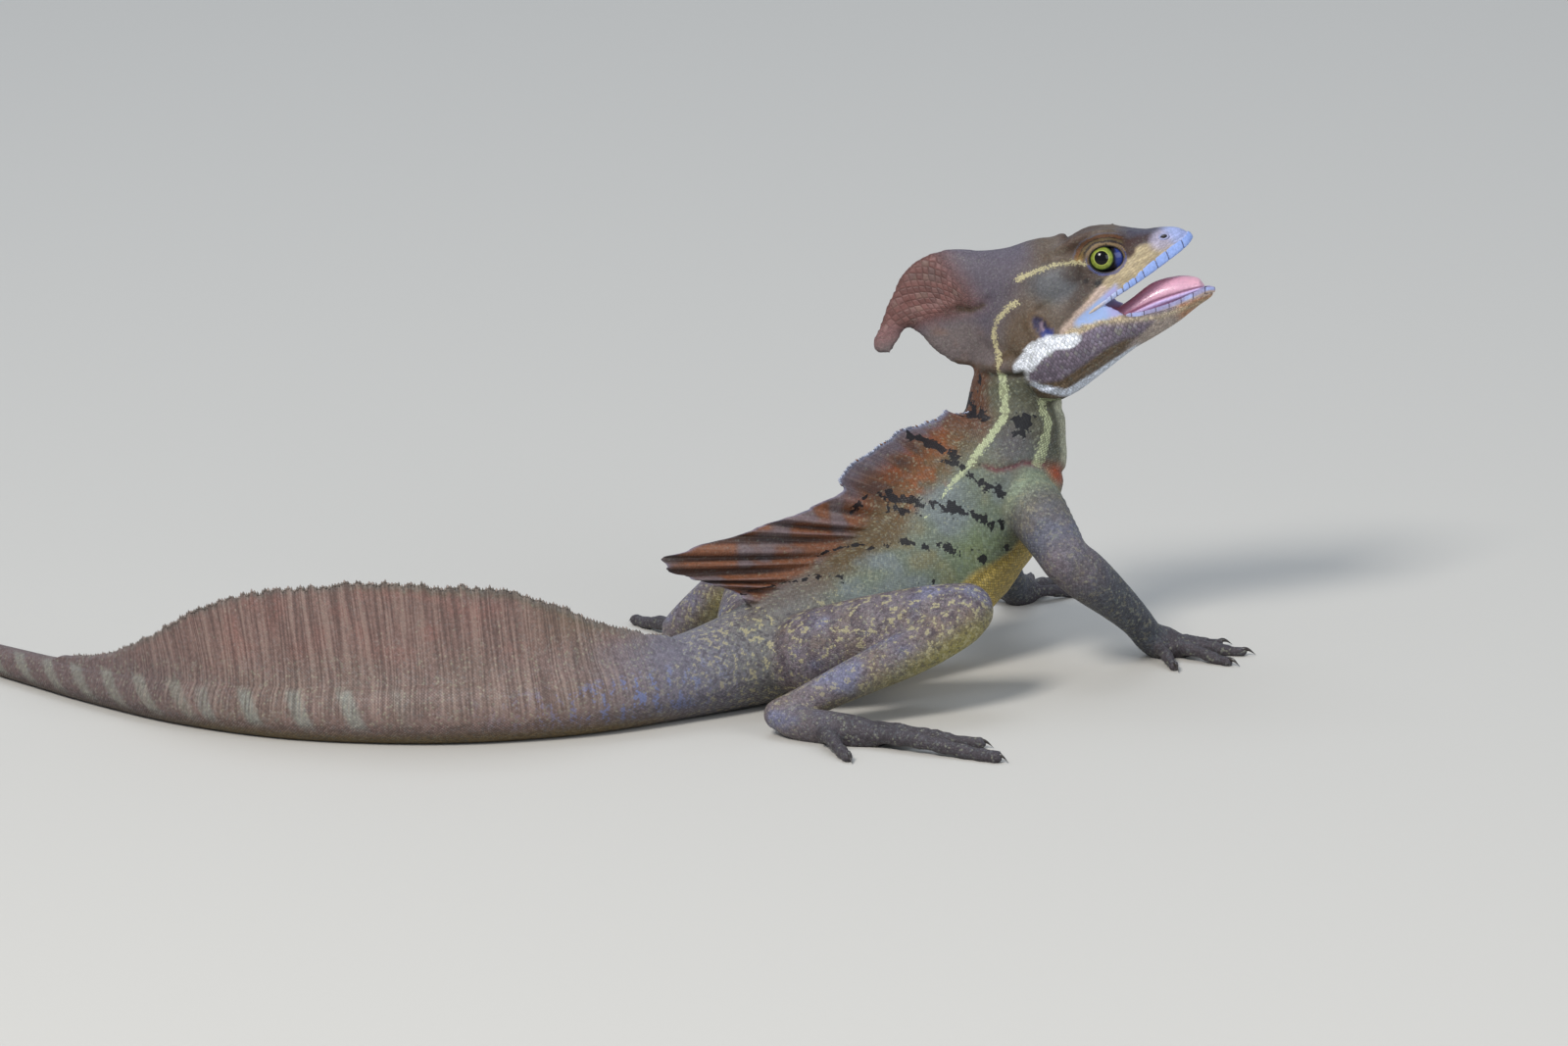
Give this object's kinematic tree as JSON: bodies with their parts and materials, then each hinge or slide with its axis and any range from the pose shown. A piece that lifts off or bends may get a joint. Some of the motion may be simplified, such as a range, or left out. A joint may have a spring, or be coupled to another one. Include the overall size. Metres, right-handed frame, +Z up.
{
  "type": "common basilisk lizard",
  "caption": "Life-size adult male common basilisk resting on its belly, propped on its fore legs, mouth open, with head crest, back sail and tail sail.",
  "frame": {"origin": "on the floor, in the small flat under the hips", "axes": "+X along the floor towards the head, as the camera sees it to the right; +Y away from the animal's right side and the camera; +Z up"},
  "size_m": [0.5614, 0.248, 0.1177],
  "materials": {
    "olive_skin": "matt, fine scales",
    "brown_skin": "matt, fine scales",
    "rust_crest": "matt, thin skin over rays",
    "slate_limb": "matt, keeled scales",
    "tongue": "wet",
    "eye": "wet"
  },
  "bodies": {
    "root": {"torso": "olive_skin", "neck": "olive_skin", "tail_base": "brown_skin", "tail_middle": "brown_skin", "tail_end": "brown_skin", "head": "brown_skin", "lower_jaw": "brown_skin", "head_crest": "rust_crest", "back_sail": "rust_crest", "tail_sail_front": "rust_crest", "tail_sail_rear": "rust_crest", "tongue": "tongue", "eye_right": "eye", "eye_left": "eye", "fore_right_upper_arm": "slate_limb", "fore_right_forearm": "slate_limb", "fore_right_hand": "slate_limb", "fore_left_upper_arm": "slate_limb", "fore_left_forearm": "slate_limb", "fore_left_hand": "slate_limb", "hind_right_thigh": "olive_skin", "hind_right_shank": "slate_limb", "hind_right_foot": "slate_limb", "hind_left_thigh": "olive_skin", "hind_left_shank": "slate_limb", "hind_left_foot": "slate_limb"}
  },
  "joints": []
}
